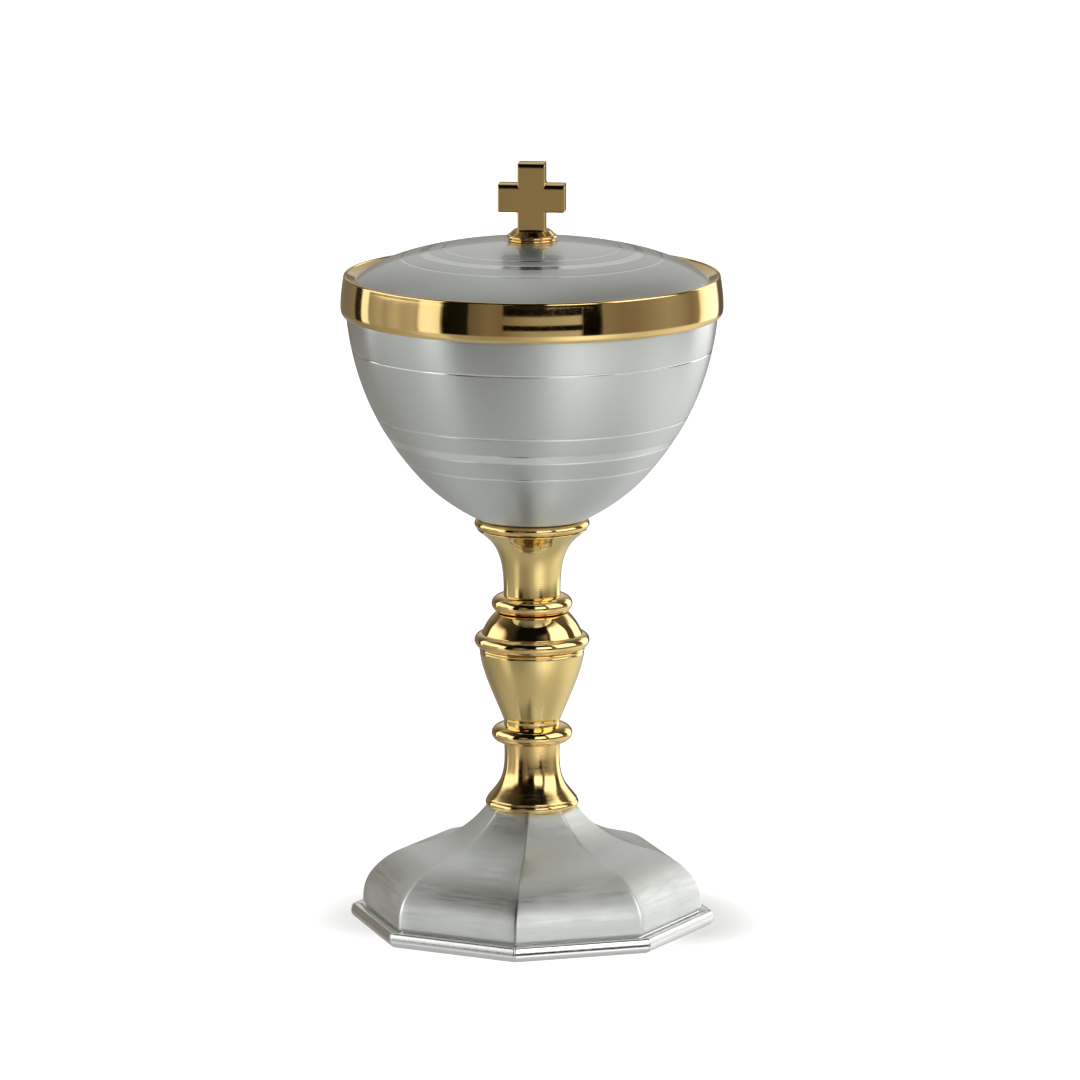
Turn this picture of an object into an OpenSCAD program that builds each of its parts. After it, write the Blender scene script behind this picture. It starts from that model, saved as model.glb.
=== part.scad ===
// Lidded ciborium: a satin silver cup and lid with gilt fittings, on a turned
// gilt stem and an eight-sided foot. The stem pieces are stacked on one tie rod
// that screws into a socket under the cup and is drawn up by a nut in the foot.
// Millimetres, +Z up, origin at the centre of the underside. A corner of the
// foot faces -Y and the cross spreads along X.

/* [Foot] */
// Across-corner radius of the base moulding
foot_r = 53.2; // [52.5:0.1:54]
// Height of the half-round base moulding
moulding_h = 4.6; // [4:0.1:5]
// Sheet thickness of the pressed foot shell
foot_wall = 1.1; // [0.9:0.1:1.3]

/* [Stem] */
// Radius of the two plain stem rings
ring_r = 11.75; // [11:0.25:13]
// Radius of the wide ring round the knop
knop_ring_r = 16.7; // [16:0.1:18]
// Radius of the tie rod
rod_r = 2.95; // [2.5:0.05:2.95]

/* [Cup] */
// Radius of the cup at its rim
cup_r = 53.6; // [53:0.1:53.8]
// Height of the cup rim above the table
rim_z = 187; // [186:0.5:188]
// Wall thickness of the cup
cup_wall = 1.0; // [0.8:0.1:1.2]

/* [Lid] */
// Outer radius of the gilt band at its foot
band_r = 55.2; // [54.8:0.1:56]
// Height of the dome's centre above the table
dome_z = 201.3; // [200.8:0.1:201.8]
// Wall thickness of the lid dome
dome_wall = 1.0; // [0.8:0.1:1.1]
// Radial play between the lid's locating ring and the inside of the cup
lid_play = 0.08; // [0.05:0.01:0.1]

/* [Cross] */
// Overall width of the cross
cross_w = 19.3; // [18:0.1:21]
// Width of the upright
upright_w = 7.9; // [7:0.1:9]
// Thickness of the cross, front to back
cross_t = 6; // [5.4:0.1:7]

/* [Hidden] */

gold = [0.83, 0.66, 0.30];
silver = [0.74, 0.75, 0.74];
bright = [0.86, 0.87, 0.86];
steel = [0.55, 0.56, 0.58];

// radial play of spigots in their bores and of rods in their threads
joint_play = 0.05;

// ---- curves: every profile is a list of [distance from axis, height] ----
// one cubic curve between two ends with two handles
function bezier(start, handle_1, handle_2, end, spans) = [for (i = [0:spans])
    let (along = i / spans, left = 1 - along)
    pow(left, 3) * start + 3 * pow(left, 2) * along * handle_1
        + 3 * left * along * along * handle_2 + pow(along, 3) * end];
// an elliptical arc; radii are [across, up], angles are in degrees
function arc(centre, radii, from, to, spans) = [for (i = [0:spans])
    let (angle = from + (to - from) * i / spans)
    centre + [radii[0] * cos(angle), radii[1] * sin(angle)]];
// all but the first point
function rest(path) = [for (i = [1:len(path) - 1]) path[i]];
function reversed(path) = [for (i = [len(path) - 1:-1:0]) path[i]];
// a right-hand path closed by its mirror image on the left of the axis
function mirrored(path) = concat(path, [for (point = reversed(path)) [-point[0], point[1]]]);
// unit normal on the left of the path at point i
function left_normal(path, i) =
    let (step = path[min(i + 1, len(path) - 1)] - path[max(i - 1, 0)])
    [-step[1], step[0]] / norm(step);
// the path moved to its left
function shifted(path, distance) =
    [for (i = [0:len(path) - 1]) path[i] + distance * left_normal(path, i)];

// ---- shared solids ----
module lathe(profile) rotate_extrude($fn = 96) polygon(profile);

// a body whose level slices are octagons with a corner facing -Y; the profile
// runs from the foot up, as [distance from axis to flat, height]
module octagon_body(profile)
    intersection_for (k = [0:3])
        rotate([0, 0, 22.5 + 45 * k]) rotate([90, 0, 0])
            linear_extrude(height = 130, center = true) polygon(mirrored(profile));

// a cutter for a round hole, starting 1 mm below z = 0
module bore_cut(radius, height)
    translate([0, 0, -1]) cylinder(r = radius, h = height, $fn = 48);

// a round bar bevelled at both ends
module bevelled_bar(radius, height, bevel_r, bevel_h)
    lathe([[0, 0], [radius - bevel_r, 0], [radius, bevel_h],
        [radius, height - bevel_h], [radius - bevel_r, height], [0, height]]);

// a hexagon bar with its corners turned off; flat_r is half the width across flats
module hex_blank(flat_r, height, turned_r, bevel_r, bevel_h)
    intersection() {
        cylinder(r = flat_r / cos(30), h = height, $fn = 6);
        bevelled_bar(turned_r, height, bevel_r, bevel_h);
    }

// ---- foot ----
// distance to flat over distance to corner of an octagon
flat_ratio = cos(22.5);
moulding_mid = moulding_h / 2;
// distances to flat
moulding_inside = 44;
shell_edge = 45.1;
shell_inside = 43.9;
shell_top = 35;
shell_under = shell_top - foot_wall;
// thicknesses of the pieces stacked under the top of the shell
foot_washer_h = 2;
lock_washer_h = 1.4;
foot_nut_h = 5;

// [distance to corner, height] up the outside of the shell, above its edge fold
shell_corner = concat(
    bezier([49.7, 5.6], [49.8, 10.2], [48.6, 13.2], [45.8, 16], 7),
    rest(bezier([45.8, 16], [43.4, 18.6], [39.8, 20.9], [35.3, 22.1], 6)),
    rest(bezier([35.3, 22.1], [28.6, 23.9], [20.9, 25.4], [13.3, shell_top], 11)));
shell_outer = [for (point = shell_corner) [point[0] * flat_ratio, point[1]]];
// the inside, without the ends that would run into the edge fold and the top
shell_inner = [for (point = shifted(shell_outer, foot_wall))
    if (point[1] > 6.6 && point[1] < shell_under - 0.25)
        [min(point[0], shell_inside), point[1]]];

module foot_moulding() color(bright)
    difference() {
        octagon_body(arc([foot_r * flat_ratio - moulding_mid, moulding_mid],
            [moulding_mid, moulding_mid], -90, 90, 10));
        translate([0, 0, -1])
            cylinder(r = moulding_inside / flat_ratio, h = moulding_h + 2, $fn = 8);
    }

module foot_shell() color(silver)
    difference() {
        octagon_body(concat([[shell_edge, moulding_h], [shell_edge, 5.4]], shell_outer));
        octagon_body(concat([[shell_inside, moulding_h - 1], [shell_inside, 6.2]],
            shell_inner, [[11.3, shell_under]]));
        // hole for the tie rod
        translate([0, 0, 30]) cylinder(r = 3.3, h = 10, $fn = 48);
    }

module foot_washer() color(gold)
    translate([0, 0, shell_under - foot_washer_h]) difference() {
        cylinder(r = 10, h = foot_washer_h, $fn = 72);
        bore_cut(radius = 3.2, height = 4);
    }

// split on its +X side
module lock_washer() color(steel)
    translate([0, 0, shell_under - foot_washer_h - lock_washer_h]) difference() {
        cylinder(r = 5.5, h = lock_washer_h, $fn = 64);
        bore_cut(radius = 3.1, height = 4);
        translate([2, -0.6, -1]) cube([5, 1.2, 4]);
    }

module foot_nut() color(steel)
    translate([0, 0, shell_under - foot_washer_h - lock_washer_h - foot_nut_h]) difference() {
        hex_blank(flat_r = 5, height = foot_nut_h, turned_r = 5.8, bevel_r = 0.9, bevel_h = 0.55);
        bore_cut(radius = rod_r + joint_play, height = 7);
    }

module tie_rod() color(steel)
    translate([0, 0, 20.5])
        bevelled_bar(radius = rod_r, height = 96.5, bevel_r = 0.6, bevel_h = 0.6);

// ---- stem ----
// bores that take the spigots
stem_bore_r = 6.5;
knop_bore_r = 12;
trumpet_bore_r = 11;
collar_bore_r = 9;
// clearance bore of the rings round the tie rod
ring_bore_r = 3.4;
// underside of each stem piece above the flare
lower_ring_z = 53.9;
vase_z = 59.3;
knop_ring_z = 82;
cap_z = 86.2;
upper_ring_z = 92.3;
trumpet_z = 97.5;
collar_z = 117;
collar_top = 120.2;
cup_base = 120.3;
// radius of the trumpet's mouth
mouth_r = 15.9;

// a ring with an elliptical rim and a spigot above and below; rim_depth is the
// radial depth of the rim, up and down are the spigot lengths
module stem_ring(radius, bottom, top, rim_depth, bore_r, up, down) {
    spigot_r = bore_r - joint_play;
    lathe(concat(
        [[ring_bore_r, bottom - down], [spigot_r, bottom - down], [spigot_r, bottom]],
        arc([radius - rim_depth, (bottom + top) / 2], [rim_depth, (top - bottom) / 2],
            -90, 90, 14),
        [[spigot_r, top], [spigot_r, top + up], [ring_bore_r, top + up]]));
}

module stem_flare() color(gold)
    lathe(concat([[3.2, shell_top]],
        arc([12.75, shell_top + 1.1], [0.8, 1.1], -90, 62, 8),
        [[13.0, 37.25]],
        bezier([13.1, 37.4], [9.93, 41.72], [7.4, 42.31], [8.15, lower_ring_z], 16),
        [[stem_bore_r, lower_ring_z], [stem_bore_r, 40.5], [3.2, 38.2]]));

module stem_lower_ring() color(gold)
    stem_ring(radius = ring_r, bottom = lower_ring_z, top = vase_z,
        rim_depth = 3.5, bore_r = stem_bore_r, up = 3, down = 3);

module knop_vase() color(gold)
    lathe(concat([[stem_bore_r, vase_z], [8.2, vase_z]],
        bezier([8.2, 60.5], [10.25, 66], [14.88, 75.1], [15.15, 80.8], 16),
        arc([15.0, 81.5], [0.3, 0.5], -90, 90, 6),
        [[knop_bore_r, knop_ring_z], [knop_bore_r, knop_ring_z - 2.5], [stem_bore_r, 66]]));

module knop_ring() color(gold)
    stem_ring(radius = knop_ring_r, bottom = knop_ring_z, top = cap_z,
        rim_depth = 2.1, bore_r = knop_bore_r, up = 2, down = 2);

module knop_cap() color(gold)
    lathe(concat([[knop_bore_r, cap_z]],
        bezier([14.7, cap_z], [13.15, 89.08], [13.08, 89.63], [10.5, upper_ring_z], 12),
        [[stem_bore_r, upper_ring_z], [stem_bore_r, 90.5], [knop_bore_r, cap_z + 2.5]]));

module stem_upper_ring() color(gold)
    stem_ring(radius = ring_r, bottom = upper_ring_z, top = trumpet_z,
        rim_depth = 3.1, bore_r = stem_bore_r, up = 3, down = 2.5);

module stem_trumpet() color(gold)
    lathe(concat([[stem_bore_r, trumpet_z]],
        bezier([8.28, trumpet_z], [7.91, 112.14], [12.67, 114], [mouth_r, 116.7], 18),
        [[mouth_r, collar_z], [trumpet_bore_r, collar_z], [trumpet_bore_r, 113.5],
            [stem_bore_r, 112]]));

module stem_collar() color(gold) {
    spigot_r = trumpet_bore_r - joint_play;
    lathe(concat([[collar_bore_r, 114.4], [spigot_r, 114.4], [spigot_r, collar_z]],
        arc([15.0, collar_z + 1.5], [1.7, 1.5], -90, 70, 10),
        [[14.9, collar_top], [collar_bore_r, collar_top]]));
}

module cup_socket() color(gold) {
    head_r = collar_bore_r - joint_play;
    difference() {
        lathe([[0, 107], [5.9, 107], [6.4, 107.5], [6.4, 113.4], [head_r, 113.4],
            [head_r, cup_base], [0, cup_base]]);
        translate([0, 0, 100]) cylinder(r = rod_r + joint_play, h = 18, $fn = 48);
    }
}

// ---- cup ----
cup_inside_r = cup_r - cup_wall;
cup_floor = cup_base + cup_wall;
// top of the curved side, above which the wall is upright
cup_side_top = 179.8;
rim_bevel = 0.3;

// outer radius at height z: a rounded bowl with a slight swell low down,
// held to the rim radius
function cup_at(z) = min(cup_r, 54.18 * pow(1 - pow((192.12 - z) / 76.71, 2.25), 1 / 1.63)
    + 0.42 * exp(-pow((z - 128.5) / 7, 2)));
// heights crowd towards the base, where the side curves most
cup_outer = [for (i = [0:30])
    let (z = cup_base + (cup_side_top - cup_base) * pow(i / 30, 1.25)) [cup_at(z), z]];
cup_inner = [for (point = shifted(cup_outer, cup_wall))
    if (point[1] > cup_floor + 0.3) point];

module cup_bowl() color(silver)
    lathe(concat([[0, cup_base]], cup_outer,
        [[cup_r, rim_z - rim_bevel], [cup_r - rim_bevel, rim_z],
            [cup_inside_r + rim_bevel, rim_z], [cup_inside_r, rim_z - rim_bevel]],
        reversed(cup_inner),
        [[14.6, cup_floor], [0, cup_floor]]));

// ---- lid ----
// radius of the dome's outer edge, and of its inside there
dome_edge_r = 51;
dome_inside_r = 49.7;
// height of the dome's lower edge
dome_edge_z = 188.6;
// radius of the level seat under the finial
seat_r = 7.8;
// hole for the finial stud
dome_hole_r = 2.2;
// radii of the band's inside and of its face on the cup rim
band_inside_r = 49.4;
band_rim_r = 54.05;

// height of the dome's outside at a radius
function dome_at(radius) = dome_z - radius * radius / 300 - 2.6 * pow(radius / 51, 8);
// radius of step i of count, from the seat out to edge_r
function dome_step(edge_r, i, count) = seat_r + (edge_r - seat_r) * pow(i / count, 0.9);
// drop from the outside of the dome to its inside
dome_drop = dome_wall * 1.05;
seat_z = dome_at(seat_r);
seat_under = seat_z - dome_drop;

module lid_band() color(gold)
    lathe(concat([[band_rim_r, 179.85]],
        bezier([54.3, 179.75], [54.95, 179.95], [band_r, 181], [band_r, 182.4], 6),
        rest(bezier([band_r, 182.4], [band_r, 185], [54.85, 187.8], [54.4, 190.6], 8)),
        arc([53.85, 190.8], [0.5, 0.65], 10, 150, 8),
        [[dome_edge_r, dome_at(dome_edge_r)], [dome_edge_r, dome_edge_z],
            [band_inside_r, dome_edge_z], [band_inside_r, rim_z], [band_rim_r, rim_z]]));

module lid_dome() color(silver)
    lathe(concat([[dome_hole_r, seat_z], [seat_r, seat_z]],
        [for (i = [1:26]) let (radius = dome_step(dome_edge_r, i, 26))
            [radius, dome_at(radius)]],
        [[dome_edge_r, dome_edge_z], [50.2, dome_edge_z]],
        [for (i = [24:-1:0]) let (radius = dome_step(dome_inside_r, i, 24))
            [radius, dome_at(radius) - dome_drop]],
        [[dome_hole_r, seat_under]]));

// the locating ring inside the cup, bevelled at its lower outer edge
module lid_bezel() color(gold) {
    inner_r = cup_inside_r - 1.1;
    outer_r = cup_inside_r - lid_play;
    lathe([[inner_r, 182.6], [cup_inside_r - 0.5, 182.6], [outer_r, 183.2],
        [outer_r, rim_z], [inner_r, rim_z]]);
}

// ---- finial ----
cross_foot = 204.3;
cross_top = 224;
// lower and upper edges of the arms
arm_lo = 209.6;
arm_hi = 217.9;
stud_r = 1.95;
stud_bore_r = stud_r + joint_play;
// clearance bore of the collar and washer round the stud
finial_bore_r = 2.1;
finial_washer_h = 1;
finial_nut_h = 3.2;

// two small beads under a taper
module finial_collar() color(gold)
    lathe(concat([[finial_bore_r, seat_z], [6.4, seat_z]],
        arc([6.45, seat_z + 0.38], [0.5, 0.36], -80, 80, 6),
        [[6.3, seat_z + 0.84]],
        arc([6.75, seat_z + 1.35], [0.55, 0.45], -80, 80, 6),
        [[6.65, 203.0], [5.4, cross_foot], [finial_bore_r, cross_foot]]));

module finial_cross() color(gold) {
    upright = upright_w / 2;
    arm = cross_w / 2;
    difference() {
        rotate([90, 0, 0]) linear_extrude(height = cross_t, center = true)
            polygon(mirrored([[upright, cross_foot], [upright, arm_lo], [arm, arm_lo],
                [arm, arm_hi], [upright, arm_hi], [upright, cross_top]]));
        translate([0, 0, cross_foot]) bore_cut(radius = stud_bore_r, height = 8.5);
    }
}

module finial_stud() color(steel)
    translate([0, 0, 194.2])
        bevelled_bar(radius = stud_r, height = 17, bevel_r = 0.4, bevel_h = 0.4);

module finial_washer() color(gold)
    translate([0, 0, seat_under - finial_washer_h]) difference() {
        cylinder(r = 6.5, h = finial_washer_h, $fn = 64);
        bore_cut(radius = finial_bore_r, height = 3);
    }

module finial_nut() color(steel)
    translate([0, 0, seat_under - finial_washer_h - finial_nut_h]) difference() {
        hex_blank(flat_r = 3.5, height = finial_nut_h, turned_r = 4.1,
            bevel_r = 0.7, bevel_h = 0.45);
        bore_cut(radius = stud_bore_r, height = 6);
    }

foot_moulding();
foot_shell();
foot_washer();
lock_washer();
foot_nut();
tie_rod();
stem_flare();
stem_lower_ring();
knop_vase();
knop_ring();
knop_cap();
stem_upper_ring();
stem_trumpet();
stem_collar();
cup_socket();
cup_bowl();
lid_band();
lid_dome();
lid_bezel();
finial_collar();
finial_cross();
finial_stud();
finial_washer();
finial_nut();
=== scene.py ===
"""A covered cup in satin silver and gilt: an eight-sided foot, a turned stem with a knop, a spun
bowl, and a domed lid with a cross on top.

It stands on z = 0 with its axis on Z. The front is -Y, and a corner of the foot faces it.
Piece sizes are in millimetres, turned into metres by MM. Profiles are lists of (radius, z).
"""
import math

import bmesh
import bpy
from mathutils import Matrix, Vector


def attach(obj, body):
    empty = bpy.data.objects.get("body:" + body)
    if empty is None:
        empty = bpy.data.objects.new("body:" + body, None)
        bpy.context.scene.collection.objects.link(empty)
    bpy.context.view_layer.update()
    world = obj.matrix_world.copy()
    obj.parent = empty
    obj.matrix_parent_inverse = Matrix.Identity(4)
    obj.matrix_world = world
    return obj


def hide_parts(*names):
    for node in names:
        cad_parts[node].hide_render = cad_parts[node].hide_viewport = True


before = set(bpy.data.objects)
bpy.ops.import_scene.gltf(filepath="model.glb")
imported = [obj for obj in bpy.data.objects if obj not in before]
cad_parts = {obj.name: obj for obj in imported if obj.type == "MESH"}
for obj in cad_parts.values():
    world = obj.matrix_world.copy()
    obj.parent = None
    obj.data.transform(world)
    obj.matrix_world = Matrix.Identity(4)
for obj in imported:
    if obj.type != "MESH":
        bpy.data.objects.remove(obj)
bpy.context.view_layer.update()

MM = 0.001

# Heights where one piece of the stem meets the next
FLARE_Z = 35.0
RING_Z = 53.9
VASE_Z = 59.3
KNOP_Z = 82.0
CAP_Z = 86.2
CAP_TOP = 92.3
TRUMPET_Z = 97.5
COLLAR_Z = 117.0

CUP_Z = 120.3  # underside of the bowl
CUP_WALL = 1.0
RIM_R = 53.6
RIM_Z = 187.0
LID_R = 51.0
LID_EDGE_Z = 188.6
LID_WALL = 1.05
SEAT_R = 7.8  # flat on top of the lid

# Polished lines: (low, high) height on the cup, (inner, outer) radius on the lid
CUP_LINES = [(169.8, 170.35), (150.4, 150.95), (142.8, 145.3), (137.2, 137.75)]
LID_RINGS = [(25.25, 26.15), (29.7, 32.6), (37.2, 38.1)]

VIEW_DEG = 5.4  # the camera stands this far round from -Y towards +X

# ------------------------------------------------------------------ curves


def bezier(start, pull_start, pull_end, end, steps):
    points = []
    for i in range(steps + 1):
        t = i / steps
        s = 1 - t
        points.append(tuple(s ** 3 * a + 3 * s * s * t * b + 3 * s * t * t * c + t ** 3 * d
                            for a, b, c, d in zip(start, pull_start, pull_end, end)))
    return points


def arc(centre_r, centre_z, half_width, half_height, from_deg, to_deg, steps):
    points = []
    for i in range(steps + 1):
        angle = math.radians(from_deg + (to_deg - from_deg) * i / steps)
        points.append((centre_r + half_width * math.cos(angle),
                       centre_z + half_height * math.sin(angle)))
    return points


def turn_on(path, radius, from_deg, to_deg, steps):
    """Goes on from the last point along an arc; the outward normal turns between two angles
    above level."""
    last_r, last_z = path[-1]
    cos_from, sin_from = math.cos(math.radians(from_deg)), math.sin(math.radians(from_deg))
    out = list(path)
    for i in range(1, steps + 1):
        normal = math.radians(from_deg + (to_deg - from_deg) * i / steps)
        out.append((last_r + radius * (math.cos(normal) - cos_from),
                    last_z + radius * (math.sin(normal) - sin_from)))
    return out


def fillet(points, radius, steps=5):
    """Rounds every corner of a closed outline, by less where the sides are short."""
    out = []
    for i, corner in enumerate(points):
        before, after = points[i - 1], points[(i + 1) % len(points)]
        back = Vector((before[0] - corner[0], before[1] - corner[1]))
        ahead = Vector((after[0] - corner[0], after[1] - corner[1]))
        back_length, ahead_length = back.length, ahead.length
        back /= back_length
        ahead /= ahead_length
        half = back.angle(ahead) / 2
        cut = min(radius / math.tan(half), back_length * 0.48, ahead_length * 0.48)
        fitted = cut * math.tan(half)
        centre = Vector(corner) + (back + ahead).normalized() * (fitted / math.sin(half))
        first = Vector(corner) + back * cut
        last = Vector(corner) + ahead * cut
        start = math.atan2(first.y - centre.y, first.x - centre.x)
        end = math.atan2(last.y - centre.y, last.x - centre.x)
        sweep = (end - start + math.pi) % (2 * math.pi) - math.pi
        for k in range(steps + 1):
            angle = start + sweep * k / steps
            out.append((centre.x + fitted * math.cos(angle), centre.y + fitted * math.sin(angle)))
    return out


def dense(points, step, closed=True):
    """Adds points on long spans, and one close to each end of a span to keep shading crisp."""
    long_span, end_gap, merge = 0.5, 0.06, 1e-4
    out = []
    for i in range(len(points) if closed else len(points) - 1):
        start, end = points[i], points[(i + 1) % len(points)]
        out.append(start)
        length = math.dist(start, end)
        if length > long_span:
            near = min(end_gap / length, 0.2)
            count = int(length / step)
            even = [j / (count + 1) for j in range(1, count + 1)]
            for t in [near, *[t for t in even if near * 1.6 < t < 1 - near * 1.6], 1 - near]:
                out.append((start[0] + (end[0] - start[0]) * t,
                            start[1] + (end[1] - start[1]) * t))
    if not closed:
        out.append(points[-1])
    tidy = [out[0]]
    for point in out[1:]:
        if math.dist(point, tidy[-1]) > merge:
            tidy.append(point)
    if closed and math.dist(tidy[0], tidy[-1]) <= merge:
        tidy.pop()
    return tidy


def offset(path, distance):
    """Moves a path sideways, to the left of its direction."""
    out = []
    for i, (r, z) in enumerate(path):
        before, after = path[max(i - 1, 0)], path[min(i + 1, len(path) - 1)]
        along = Vector((after[0] - before[0], after[1] - before[1])).normalized()
        out.append((r - along.y * distance, z + along.x * distance))
    return out


def with_lines(stations, lines, inset):
    """Replaces the stations near each polished line by ones that draw its edges."""
    for low, high in lines:
        stations = [s for s in stations if not (low - 0.25 < s < high + 0.25)]
        stations += [low - 0.2, low - 0.04, low + 0.05, (low + high) / 2,
                     high - 0.05, high + 0.04, high + 0.2]
        if high - low > 1:
            stations += [low + inset, high - inset]
    return sorted(stations)


def sunk(station, lines, depth):
    """Depth of the surface at a station: sunk inside the polished lines only."""
    return sum(depth for low, high in lines if low < station < high)


# ------------------------------------------------------------------ meshes


def link_object(name, bm):
    mesh = bpy.data.meshes.new(name)
    bm.to_mesh(mesh)
    bm.free()
    ob = bpy.data.objects.new(name, mesh)
    bpy.context.scene.collection.objects.link(ob)
    return ob


def finish_mesh(name, bm, body, finish):
    """Makes the object. Its name is that of the CAD piece it replaces, plus one word; finish is
    (slot, material, ...), and its slot name is not used."""
    bmesh.ops.recalc_face_normals(bm, faces=bm.faces)
    for face in bm.faces:
        face.smooth = True
    ob = link_object(name, bm)
    slot, *materials = finish
    for material in materials:
        ob.data.materials.append(material)
    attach(ob, body)
    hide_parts(name.rsplit("_", 1)[0])
    return ob


def sharpen(ob, degrees):
    """Marks edges sharper than the angle, so flat faces shade flat."""
    bm = bmesh.new()
    bm.from_mesh(ob.data)
    for edge in bm.edges:
        if len(edge.link_faces) == 2 and edge.calc_face_angle(0) > math.radians(degrees):
            edge.smooth = False
    bm.to_mesh(ob.data)
    bm.free()


def turned_ring(bm, radii, z):
    """Vertices evenly round the axis, one for each radius."""
    count = len(radii)
    return [bm.verts.new((r * MM * math.cos(2 * math.pi * k / count),
                          r * MM * math.sin(2 * math.pi * k / count), z * MM))
            for k, r in enumerate(radii)]


def pole(bm, z):
    return [bm.verts.new((0, 0, z * MM))]


def skin(bm, rings, close=True, outside=None):
    """Joins neighbouring rings with faces; a ring of one vertex is a pole. Spans numbered
    outside and over take the second material."""
    following = rings[1:] + (rings[:1] if close else [])
    for i, (a, b) in enumerate(zip(rings, following)):
        count = max(len(a), len(b))
        if count == 1:
            continue
        for k in range(count):
            after = (k + 1) % count
            if len(a) == 1:
                face = bm.faces.new((a[0], b[after], b[k]))
            elif len(b) == 1:
                face = bm.faces.new((a[k], a[after], b[0]))
            else:
                face = bm.faces.new((a[k], a[after], b[after], b[k]))
            face.material_index = int(outside is not None and i >= outside)


def loft(bm, loops, close=True):
    """Skins equal-length loops of points."""
    rings = [[bm.verts.new((x * MM, y * MM, z * MM)) for x, y, z in loop] for loop in loops]
    skin(bm, rings, close)
    return rings


def lathe(name, profile, body, finish, segments, outside=None):
    """Turns a closed profile about Z."""
    bm = bmesh.new()
    rings = [pole(bm, z) if r < 1e-6 else turned_ring(bm, [r] * segments, z) for r, z in profile]
    skin(bm, rings, outside=outside)
    finish_mesh(name, bm, body, finish)


# ------------------------------------------------------------------ node helpers


class Net:
    """The cleared node tree of a material or world, with short ways to add nodes."""

    def __init__(self, owner):
        owner.use_nodes = True
        self.tree = owner.node_tree
        self.tree.nodes.clear()

    def add(self, kind, **props):
        place = len(self.tree.nodes)
        node = self.tree.nodes.new(kind)
        node.location = (180 * (place % 12), -160 * (place // 12))
        for key, value in props.items():
            setattr(node, key, value)
        return node

    def put(self, socket, value):
        """Links a socket, or sets a plain value."""
        if isinstance(value, bpy.types.NodeSocket):
            self.tree.links.new(value, socket)
        else:
            socket.default_value = value

    def node(self, kind, values, **props):
        """Adds a node with values on its inputs, by name or number; gives its first output."""
        node = self.add(kind, **props)
        for key, value in values.items():
            self.put(node.inputs[key], value)
        return node.outputs[0]

    def math(self, operation, a, b=0.0, c=None):
        values = {0: a, 1: b}
        if c is not None:
            values[2] = c
        return self.node("ShaderNodeMath", values, operation=operation)

    def times(self, a, b):
        return self.math("MULTIPLY", a, b)

    def total(self, first, *rest):
        for value in rest:
            first = self.math("ADD", first, value)
        return first

    def ramp(self, value, span, to=(0.0, 1.0)):
        """Smooth step across span, from to[0] to to[1]."""
        return self.node("ShaderNodeMapRange",
                         {"Value": value, "From Min": span[0], "From Max": span[1],
                          "To Min": to[0], "To Max": to[1]},
                         interpolation_type="SMOOTHSTEP")

    def mix_color(self, factor, a, b, blend="MIX"):
        a, b = ((*v, 1.0) if isinstance(v, tuple) else v for v in (a, b))
        node = self.add("ShaderNodeMix", data_type="RGBA", blend_type=blend)
        for key, value in ((0, factor), (6, a), (7, b)):
            self.put(node.inputs[key], value)
        return node.outputs[2]

    def mix_value(self, factor, a, b):
        return self.node("ShaderNodeMix", {0: factor, 2: a, 3: b}, data_type="FLOAT")

    def noise(self, vector, scale=1.0, detail=3.0, rough=0.5):
        return self.node("ShaderNodeTexNoise", {"Vector": vector, "Scale": scale,
                                                "Detail": detail, "Roughness": rough})

    def split(self, vector):
        node = self.add("ShaderNodeSeparateXYZ")
        self.put(node.inputs[0], vector)
        return node.outputs

    def join(self, x, y, z):
        return self.node("ShaderNodeCombineXYZ", {0: x, 1: y, 2: z})

    def stretched_noise(self, vector, scales):
        """Noise with its own scale along each of X, Y and Z."""
        axes = zip(self.split(vector), scales)
        return self.noise(self.join(*[self.times(c, k) for c, k in axes]))

    def hypot(self, x, y):
        return self.math("SQRT", self.total(self.times(x, x), self.times(y, y)))

    def band(self, value, low, high, soft):
        """1 between low and high, with soft edges."""
        return self.times(self.ramp(value, (low - soft, low + soft)),
                          self.ramp(value, (high - soft, high + soft), to=(1.0, 0.0)))

    def turning_lines(self, pos, fineness, around=1.5):
        """Fine lines round the axis: quick change along the profile, slow change round it."""
        x, y, z = self.split(pos)
        radius = self.hypot(x, y)
        x, y, _ = self.split(pos)
        inverse = self.math("DIVIDE", around, self.math("MAXIMUM", radius, 0.001))
        along = self.total(self.times(z, fineness), self.times(radius, fineness * 0.83))
        vector = self.join(self.times(x, inverse), self.times(y, inverse), along)
        return self.noise(vector, detail=4.0, rough=0.6)


class Metal(Net):
    """A material with one metallic Principled shader."""

    def __init__(self, name):
        self.material = bpy.data.materials.new(name)
        super().__init__(self.material)
        out = self.add("ShaderNodeOutputMaterial")
        self.shader = self.add("ShaderNodeBsdfPrincipled")
        self.put(out.inputs[0], self.shader.outputs[0])
        self.pos = self.add("ShaderNodeTexCoord").outputs["Object"]
        self.shade({"Metallic": 1.0})

    def shade(self, values):
        for key, value in values.items():
            self.put(self.shader.inputs[key], value)

    def bump(self, height, strength, distance):
        """Distance is in metres."""
        self.shade({"Normal": self.node("ShaderNodeBump", {
            "Strength": strength, "Distance": distance, "Height": height})})

    def stretch_highlights(self, amount):
        """Stretches highlights as on turned metal."""
        if amount:
            tangent = self.add("ShaderNodeTangent", direction_type="RADIAL", axis="Z")
            self.shade({"Anisotropic": amount, "Anisotropic Rotation": 0.25,
                        "Tangent": tangent.outputs[0]})


def scaled(color, factor):
    return tuple(c * factor for c in color)


# ------------------------------------------------------------------ materials


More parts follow.
